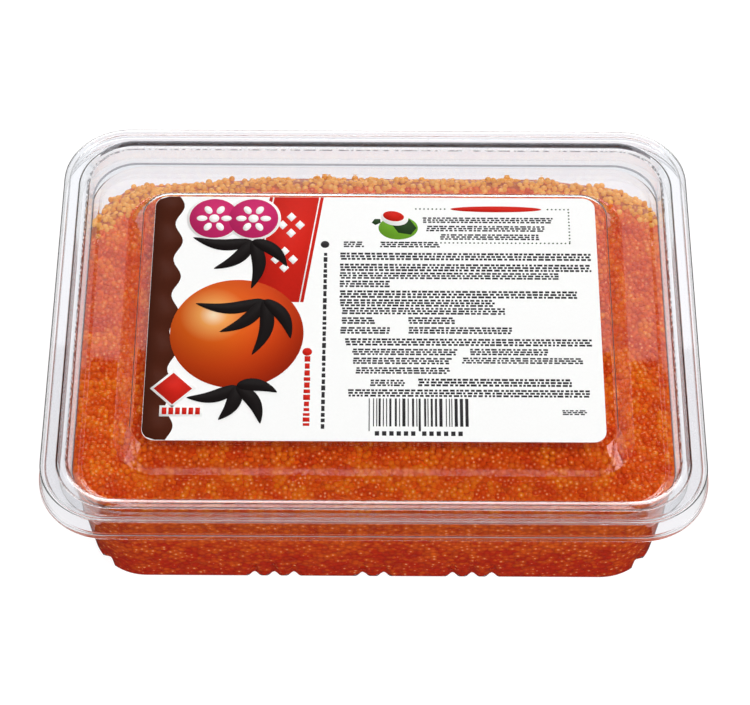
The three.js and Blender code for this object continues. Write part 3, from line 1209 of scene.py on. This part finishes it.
@dataclass
class Label:
    """The paper label and the plain shapes printed on it."""

    length: float = 112.1
    width: float = 75.0
    corner: float = 3.2
    bottom: float = PLATEAU_TOP + 0.05
    thickness: float = 0.2
    rim_bend: float = 0.05
    margin: float = 0.08
    layer: float = 0.008
    sunken: float = 0.03
    seed: int = 95
    ball_middle: tuple[float, float] = (-34.0, -5.7)
    ball_radius: float = 16.5
    # Where the leaves of each spray meet, the angles of its first and last leaf and how long they are
    sprays: tuple[tuple[float, float, float, float, float], ...] = (
        (-31.0, 23.2, 176.0, 318.0, 15.0),
        (-27.5, 4.6, 184.0, 300.0, 17.0),
        (-33.5, -21.6, 196.0, 350.0, 12.5),
    )
    leaf_half_width: float = 1.75
    dot: tuple[float, float] = (0.25, 0.25)
    prints: dict[Ink, bmesh.types.BMesh] = field(
        default_factory=lambda: {ink: bmesh.new() for ink in Ink}
    )

    def build(self) -> list[bpy.types.Object]:
        """Builds the paper and all its print, one piece for each ink."""
        self._brown_strip()
        self._banner()
        self._roundels()
        self._seal()
        self._brushwork()
        self._bars()
        self._rows()
        self._dish()
        self._disc(Ink.BALL, self.ball_middle, (self.ball_radius, self.ball_radius), 6, steps=96)
        pieces = [self._paper()]
        for ink, bm in self.prints.items():
            name = f"print_{ink.name.lower()}"
            is_ball = ink is Ink.BALL
            finish = BallPrint(self.ball_middle, self.ball_radius) if is_ball else PrintedInk(ink)
            pieces.append(make_piece(name, finished_mesh(name, bm), finish.dress()))
        for piece in pieces:
            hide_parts("label")
        return pieces

    def _paper(self) -> bpy.types.Object:
        """The rounded sheet of paper."""
        inset = (PACK_LENGTH - self.length) / 2
        long_inset = (PACK_WIDTH - self.width) / 2
        outline = Ring(inset, self.corner, self.bottom, 0.0, long_inset)
        bm = bmesh.new()
        face = outline.draw(bm, 10)[0].link_faces[0]
        self._raise(bm, [face], self.thickness)
        rims = [e for e in bm.edges if abs(e.verts[0].co.z - e.verts[1].co.z) < 1e-6]
        round_off(bm, rims, self.rim_bend, 2)
        piece = make_piece("label_sheet", finished_mesh("label_sheet", bm), Paper().dress())
        keep_flats_flat(piece)
        return piece

    @staticmethod
    def _raise(bm: bmesh.types.BMesh, faces: list[bmesh.types.BMFace], height: float) -> None:
        """Makes flat faces solid by this height, with their faces outwards."""
        made = bmesh.ops.extrude_face_region(bm, geom=faces, use_keep_orig=True)["geom"]
        verts = [item for item in made if isinstance(item, bmesh.types.BMVert)]
        bmesh.ops.translate(bm, vec=(0, 0, height), verts=verts)
        bmesh.ops.recalc_face_normals(bm, faces=list({*faces_round(verts), *faces}))

    def _print(self, ink: Ink, faces: list[bmesh.types.BMFace], layer: int) -> None:
        """Turns faces drawn at height 0 into a layer of ink that is sunk a little in the paper."""
        bm = self.prints[ink]
        verts = {vert for face in faces for vert in face.verts}
        foot = self.bottom + self.thickness - self.sunken
        bmesh.ops.translate(bm, vec=(0, 0, foot), verts=list(verts))
        self._raise(bm, faces, self.sunken + layer * self.layer)

    def _grid(self, ink: Ink, columns: int = 1, rows: int = 1) -> list[bmesh.types.BMVert]:
        """Draws a square grid, 1 mm wide, at height 0."""
        bm = self.prints[ink]
        return bmesh.ops.create_grid(bm, x_segments=columns, y_segments=rows, size=0.5)["verts"]

    def _block(
        self, ink: Ink, low: tuple[float, float], high: tuple[float, float], layer: int = 1,
        slant: float = 0.0,
    ) -> None:
        """Prints a block between two corners, its top shifted sideways by slant."""
        verts = self._grid(ink)
        for vert in verts:
            across, up = vert.co.x, vert.co.y
            vert.co.x = (low[0] + high[0]) / 2 + across * (high[0] - low[0]) + up * slant
            vert.co.y = (low[1] + high[1]) / 2 + up * (high[1] - low[1])
        self._print(ink, faces_round(verts), layer)

    def _disc(
        self, ink: Ink, middle: tuple[float, float], radii: tuple[float, float], layer: int,
        turn: float = 0.0, steps: int = 40,
    ) -> None:
        """Prints a round or oval disc."""
        bm = self.prints[ink]
        verts = bmesh.ops.create_circle(bm, cap_ends=True, segments=steps, radius=1.0)["verts"]
        bmesh.ops.scale(bm, vec=(*radii, 1), verts=verts)
        bmesh.ops.rotate(bm, cent=(0, 0, 0), matrix=Matrix.Rotation(turn, 3, "Z"), verts=verts)
        bmesh.ops.translate(bm, vec=(*middle, 0), verts=verts)
        self._print(ink, faces_round(verts), layer)

    def _brown_strip(self) -> None:
        """The brown strip along the left edge, wavy on its right side."""
        verts = self._grid(Ink.BROWN, rows=90)
        half_length, half_width = self.length / 2 - self.margin, self.width / 2 - self.margin
        edge, wave, wave_length, wave_start = -49.6, 1.05, 11.3, 31.5
        for vert in verts:
            y = vert.co.y * 2 * half_width
            if vert.co.x < 0:
                past = max(abs(y) - (half_width - self.corner), 0)
                x = -half_length + self.corner - math.sqrt(max(self.corner ** 2 - past ** 2, 0))
            else:
                x = edge + wave * math.sin(math.tau * (y - wave_start) / wave_length)
            vert.co.x, vert.co.y = x, y
        self._print(Ink.BROWN, faces_round(verts), 1)

    def _banner(self) -> None:
        """The slanted red banner with a white line inside either edge, and two flowers of diamonds."""
        top, foot, slant = self.width / 2 - self.margin, 4.0, 4.6
        middle, half = -22.3, 6.9
        self._block(Ink.RED, (middle - half, foot), (middle + half, top), 1, slant)
        for side in (-half + 1.0, half - 1.0):
            x = middle + side
            self._block(Ink.WHITE, (x - 0.16, foot), (x + 0.16, top), 2, slant)
        for share in (0.27, 0.6):
            y = top - (top - foot) * share
            x = middle + slant * (0.5 - share)
            for place in ((-2.2, 0.0), (2.2, 0.0), (0.0, 2.6), (0.0, -2.6)):
                self._disc(Ink.WHITE, (x + place[0], y + place[1]), (1.25, 1.5), 2, steps=4)

    def _roundels(self) -> None:
        """Two magenta roundels in one white border, each with a plain white flower."""
        y = 30.4
        for layer, x in enumerate((-40.9, -30.9)):
            self._disc(Ink.WHITE, (x, y), (7.0, 7.0), 3 + layer)
            self._disc(Ink.MAGENTA, (x, y), (6.3, 6.3), 5 + layer)
            for step in range(6):
                turn = step * math.tau / 6
                place = (x + 3.1 * math.cos(turn), y + 3.1 * math.sin(turn))
                self._disc(Ink.WHITE, place, (1.35, 0.9), 7, turn=turn, steps=16)
            self._disc(Ink.WHITE, (x, y), (1.3, 1.3), 7, steps=16)

    def _seal(self) -> None:
        """A plain red lozenge near the lower left corner, with a line of dashes below it."""
        middle = (-49.0, -22.4)
        self._disc(Ink.WHITE, middle, (5.6, 5.6), 2, steps=4)
        self._disc(Ink.RED, middle, (4.7, 4.7), 3, steps=4)
        self._block(Ink.WHITE, (-52.0, -30.6), (-41.6, -27.4), 2)
        for step in range(6):
            x = -51.4 + step * 1.62
            self._block(Ink.RED, (x, -30.0), (x + 1.15, -28.0), 3)

    def _brushwork(self) -> None:
        """Black brushwork: three sprays of bamboo leaves, each leaf over the one before."""
        layer = 8
        for x, y, first, last, reach in self.sprays:
            for step, share in enumerate((1.0, 0.86, 1.0, 0.8)):
                turn = math.radians(first + (last - first) * step / 3)
                self._leaf(Vector((x, y)), turn, reach * share, layer)
                layer += 1

    def _leaf(self, root: Vector, turn: float, length: float, layer: int) -> None:
        """Prints one curved leaf that starts narrow, swells and runs out to a point.

        Args:
            root: Where it starts.
            turn: The way it points, as an angle.
            length: Its length.
            layer: Its layer of print.
        """
        along = Vector((math.cos(turn), math.sin(turn)))
        across = Vector((-along.y, along.x))

        def line(share: float) -> Vector:
            """The place along the leaf."""
            return root + along * length * share + across * math.sin(math.pi * share) * length * 0.12

        verts = self._grid(Ink.BLACK, columns=28)
        for vert in verts:
            share = vert.co.x + 0.5
            half_width = 0.06 + self.leaf_half_width * math.sin(math.pi * share ** 0.7) ** 0.8
            ahead = line(min(share + 0.01, 1.0)) - line(max(share - 0.01, 0.0))
            sideways = Vector((-ahead.y, ahead.x)).normalized()
            vert.co.xy = line(share) + sideways * half_width * math.copysign(1, vert.co.y)
        self._print(Ink.BLACK, faces_round(verts), layer)

    def _bars(self) -> None:
        """Upright bars of uneven widths, with a row of short marks below."""
        draw = random.Random(self.seed)
        x, last, end, top, foot, long_foot = -1.3, 23.6, 23.9, -25.0, -33.2, -34.6
        while x < last:
            width = draw.choice((0.26, 0.26, 0.52, 0.78))
            is_long = x < -0.4 or x > 22.8 or 10.6 < x < 11.8
            self._block(Ink.TEXT, (x, long_foot if is_long else foot), (min(x + width, end), top))
            x += width + draw.choice((0.3, 0.52, 0.52, 0.8))
        for step in range(12):
            x = 0.2 + step * 1.75 + (0.9 if step > 5 else 0)
            self._block(Ink.TEXT, (x, -35.9), (x + 1.05, long_foot))

    def _rows(self) -> None:
        """Rows and columns of plain dashes where the label has its small print."""
        draw = random.Random(self.seed + 1)
        # Each row's height on the label, its two ends and how tall it is
        rows = (
            (22.3, -8.0, -2.6, 1.5), (22.3, 1.3, 16.4, 1.5), (18.5, -8.8, 54.4, 1.9),
            (15.0, -8.8, 54.4, 1.9), (12.4, -8.8, 46.4, 1.7), (9.8, -8.8, 4.0, 1.7),
            (6.6, -8.8, 50.5, 1.9), (3.9, -8.8, 29.9, 1.8), (1.4, -8.2, 32.4, 1.7),
            (-1.6, -8.2, 0.1, 1.7), (-1.5, 8.3, 19.9, 1.7), (-4.6, -8.6, 3.8, 1.7),
            (-4.5, 8.3, 34.0, 1.7), (-8.1, -7.3, 53.6, 1.8), (-11.1, -5.5, 20.5, 1.6),
            (-11.0, 23.5, 42.7, 1.6), (-13.8, -5.5, 19.0, 1.6), (-13.6, 21.5, 51.2, 1.5),
            (-16.7, -4.7, 18.5, 1.6), (-20.4, -1.1, 7.5, 1.6), (-20.2, 10.6, 48.2, 1.9),
            (-23.4, -6.6, 52.5, 1.8), (-28.9, 45.4, 51.6, 1.2),
            (30.2, 11.9, 45.2, 1.5), (27.5, 12.9, 43.0, 1.5), (24.8, 16.4, 41.6, 1.5),
        )
        for y, start, end, height in rows:
            self._dashes(draw, y, (start, end), height)
        self._column(Ink.TEXT, draw, -12.4, (19.5, -34.0), 0.5)
        self._column(Ink.RED, draw, -16.4, (-12.5, -33.4), 0.85)
        self._disc(Ink.TEXT, (-12.6, 22.2), (1.1, 1.1), 1, steps=20)
        self._disc(Ink.RED, (-16.5, -11.2), (1.2, 1.2), 1, steps=20)

    def _dashes(
        self, draw: random.Random, y: float, ends: tuple[float, float], height: float
    ) -> None:
        """One row of small print between two ends: three fine broken lines, one above the other."""
        start, end = ends
        half = height * 0.16
        for line in (-1, 0, 1):
            x = start + draw.uniform(0.0, 0.4)
            middle = y + line * height * 0.44
            while x < end - 0.4:
                width = min(draw.uniform(0.5, 1.5), end - x)
                self._block(Ink.TEXT, (x, middle - half), (x + width, middle + half))
                x += width + draw.uniform(0.22, 0.5)

    def _column(
        self, ink: Ink, draw: random.Random, x: float, ends: tuple[float, float], half_width: float
    ) -> None:
        """One column of dashes from its top down to its foot."""
        y, foot = ends
        while y > foot + 0.5:
            tall = min(draw.uniform(0.8, 1.7), y - foot)
            wide = half_width * draw.uniform(0.7, 1.0)
            self._block(ink, (x - wide, y - tall), (x + wide, y))
            y -= tall + draw.uniform(0.4, 0.6)

    def _dish(self) -> None:
        """A plain picture of a wrapped bite on a green plate, in a frame of dots."""
        self._disc(Ink.GREEN, (5.9, 27.6), (5.0, 3.7), 1)
        self._disc(Ink.LEAF, (7.4, 28.2), (3.4, 2.6), 2, turn=-0.6, steps=6)
        self._disc(Ink.WHITE, (5.0, 30.8), (3.5, 2.4), 3, turn=-0.2)
        self._disc(Ink.RED, (4.7, 31.4), (2.7, 1.6), 4, turn=-0.2)
        self._disc(Ink.LEAF, (0.4, 29.6), (1.3, 1.0), 2, turn=0.5, steps=5)
        self._disc(Ink.RED, (30.8, 33.8), (11.6, 0.95), 2)
        below = [(2.0 + step * 1.05, 22.9) for step in range(46)]
        above = [(x, 33.8) for x, _ in below if x > 9.5 and not 18.5 < x < 43]
        beside = [(49.3, 23.4 + step * 1.05) for step in range(10)]
        for place in (*below, *above, *beside):
            self._disc(Ink.LEAF, place, self.dot, 1, steps=6)


@dataclass(frozen=True)
class FloorFinish:
    """The plain pale floor. It is whitest where the camera sees it bare. Gloss mirrors it dimmer, and
    dimmest in a strip before the pack and close to the tray, as if dark cards lay there."""

    grain: float = 0.03
    own_light: float = 0.9
    behind_plastic: Colour = (0.87, 0.88, 0.91, 1.0)
    mirrored: float = 0.75
    mirrored_card: float = 0.02
    card_half_length: float = 0.079
    card_back: float = -0.05
    card_front: float = -0.094
    near_half: tuple[float, float] = (0.077, 0.094)
    near_reach: float = 0.042

    def dress(self) -> bpy.types.Material:
        """Writes the material."""
        recipe = Recipe.of_material("pale floor")
        place = recipe.place()
        grain = recipe.cloud(place, self.grain)
        seen = recipe.principled({
            "Base Color": recipe.blend(grain, linear(121, 121, 121), linear(124, 124, 124)),
            "Roughness": 0.8,
            "Specular IOR Level": 0.2,
            "Emission Color": recipe.blend(recipe.ray("Is Camera Ray"), self.behind_plastic, PURE_WHITE),
            "Emission Strength": self.own_light,
        })
        mirrored, card = (
            recipe.node("ShaderNodeEmission", sockets={"Color": PURE_WHITE, "Strength": light})
            for light in (self.mirrored, self.mirrored_card)
        )
        x, y, _ = recipe.axes(place)
        strip = (
            recipe.above(self.card_half_length ** 2, x * x)
            * recipe.above(y, self.card_front) * recipe.above(self.card_back, y)
        )
        near = (
            recipe.above(self.near_half[0] ** 2, x * x) * recipe.above(self.near_half[1] ** 2, y * y)
            * recipe.above(self.near_reach, recipe.ray("Ray Length"))
        )
        in_gloss = recipe.either(recipe.most(strip, near), mirrored, card)
        return recipe.finish(recipe.either(recipe.most(recipe.ray("Glossy Depth"), 0.0), seen, in_gloss))


@dataclass(frozen=True)
class SoftBox:
    """A soft lamp: where it hangs, how large it is and how bright its face is."""

    name: str
    place: tuple[float, float, float]
    size: tuple[float, float]
    brightness: float
    aim: tuple[float, float, float] = (0.0, 0.0, 0.03)
    mirrored: bool = True

    def hang(self) -> None:
        """Adds the lamp to the scene."""
        data = bpy.data.lights.new(self.name, "AREA")
        data.shape = "ELLIPSE"
        data.size, data.size_y = self.size
        data.energy = self.brightness * math.pi * self.size[0] * self.size[1] * math.pi / 4
        lamp = add_object(self.name, data)
        lamp.location = self.place
        away = Vector(self.place) - Vector(self.aim)
        lamp.rotation_euler = away.to_track_quat("Z", "Y").to_euler()
        lamp.visible_glossy = lamp.visible_transmission = self.mirrored


@dataclass
class Studio:
    """The floor, the soft lamps, the pale surroundings and the camera."""

    look_at: tuple[float, float, float] = (0.0, -11.12, 41.6)
    elevation: float = 54.4
    distance: float = 688.4
    roll: float = 0.29
    focal_length: float = 134.4
    sensor_width: float = 36.0
    shift: float = 0.0009
    floor_reach: float = 4000.0
    surroundings: float = 0.03
    low_glow: float = 0.25
    glow_top: float = 0.6
    glow_beside: float = 0.6
    glow_rise: float = 1.4
    boxes: tuple[SoftBox, ...] = (
        SoftBox("key box", (0.2, -0.62, 1.36), (1.07, 1.07), 5.85, mirrored=False),
        SoftBox("back box", (0.0, 1.3, 0.62), (1.4, 0.84), 4.6),
        SoftBox("high back box", (0.0, 1.04, 1.22), (2.4, 0.34), 0.95),
        SoftBox("right box", (1.2, -0.42, 0.26), (0.7, 0.46), 3.4),
        SoftBox("left box", (-1.2, -0.42, 0.26), (0.7, 0.46), 1.6),
    )
    most_bounces: int = 24

    def build(self) -> None:
        """Builds the whole studio."""
        scene = bpy.context.scene
        scene.view_settings.view_transform = "Standard"
        scene.view_settings.look = "None"
        scene.cycles.max_bounces = self.most_bounces
        scene.cycles.transmission_bounces = self.most_bounces
        scene.cycles.transparent_max_bounces = self.most_bounces
        scene.cycles.caustics_reflective = False
        scene.cycles.caustics_refractive = False
        self._floor()
        scene.world = self._surroundings()
        for box in self.boxes:
            box.hang()
        self._camera(scene)

    def _floor(self) -> None:
        """The pale floor under the pack."""
        bm = bmesh.new()
        bmesh.ops.create_grid(bm, x_segments=1, y_segments=1, size=self.floor_reach)
        mesh = finished_mesh("floor", bm)
        mesh.materials.append(FloorFinish().dress())
        floor = add_object("floor", mesh)

    def _surroundings(self) -> bpy.types.World:
        """The dim room, paler low down behind the pack and beside it."""
        recipe = Recipe(bpy.data.worlds.new("studio room"))
        _, y, z = recipe.axes(recipe.node("ShaderNodeTexCoord", output="Generated"))
        behind = recipe.clamped(y * self.glow_rise + self.glow_beside)
        strength = behind * recipe.above(self.glow_top, z) * self.low_glow + self.surroundings
        room = recipe.node("ShaderNodeBackground", sockets={"Color": PURE_WHITE, "Strength": strength})
        return recipe.finish(room, "ShaderNodeOutputWorld")

    def _camera(self, scene: bpy.types.Scene) -> None:
        """The camera at the photo's angle."""
        data = bpy.data.cameras.new("camera")
        data.sensor_width = self.sensor_width
        data.lens = self.focal_length
        data.shift_x = self.shift
        camera = add_object("camera", data)
        tilt = math.radians(self.elevation)
        back = Vector((0, -math.cos(tilt), math.sin(tilt))) * self.distance
        place = (Vector(self.look_at) + back) * MM
        turn = Matrix.Rotation(math.pi / 2 - tilt, 4, "X")
        turn @= Matrix.Rotation(math.radians(self.roll), 4, "Z")
        camera.matrix_world = Matrix.Translation(place) @ turn
        scene.camera = camera


def main() -> None:
    """Builds the studio and the pack, and logs how many faces each piece has."""
    logging.basicConfig(level=logging.INFO, format="%(message)s")
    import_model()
    Studio().build()
    pieces = [Tray().build(), Lid().build()]
    core = Core()
    even = core.remeshed()
    pieces += EggHeap(core).build(even)
    pieces.append(core.build(even))
    pieces += Label().build()
    for piece in pieces:
        LOG.info("%s: %d faces", piece.name, len(piece.data.polygons))


if __name__ == "__main__":
    main()
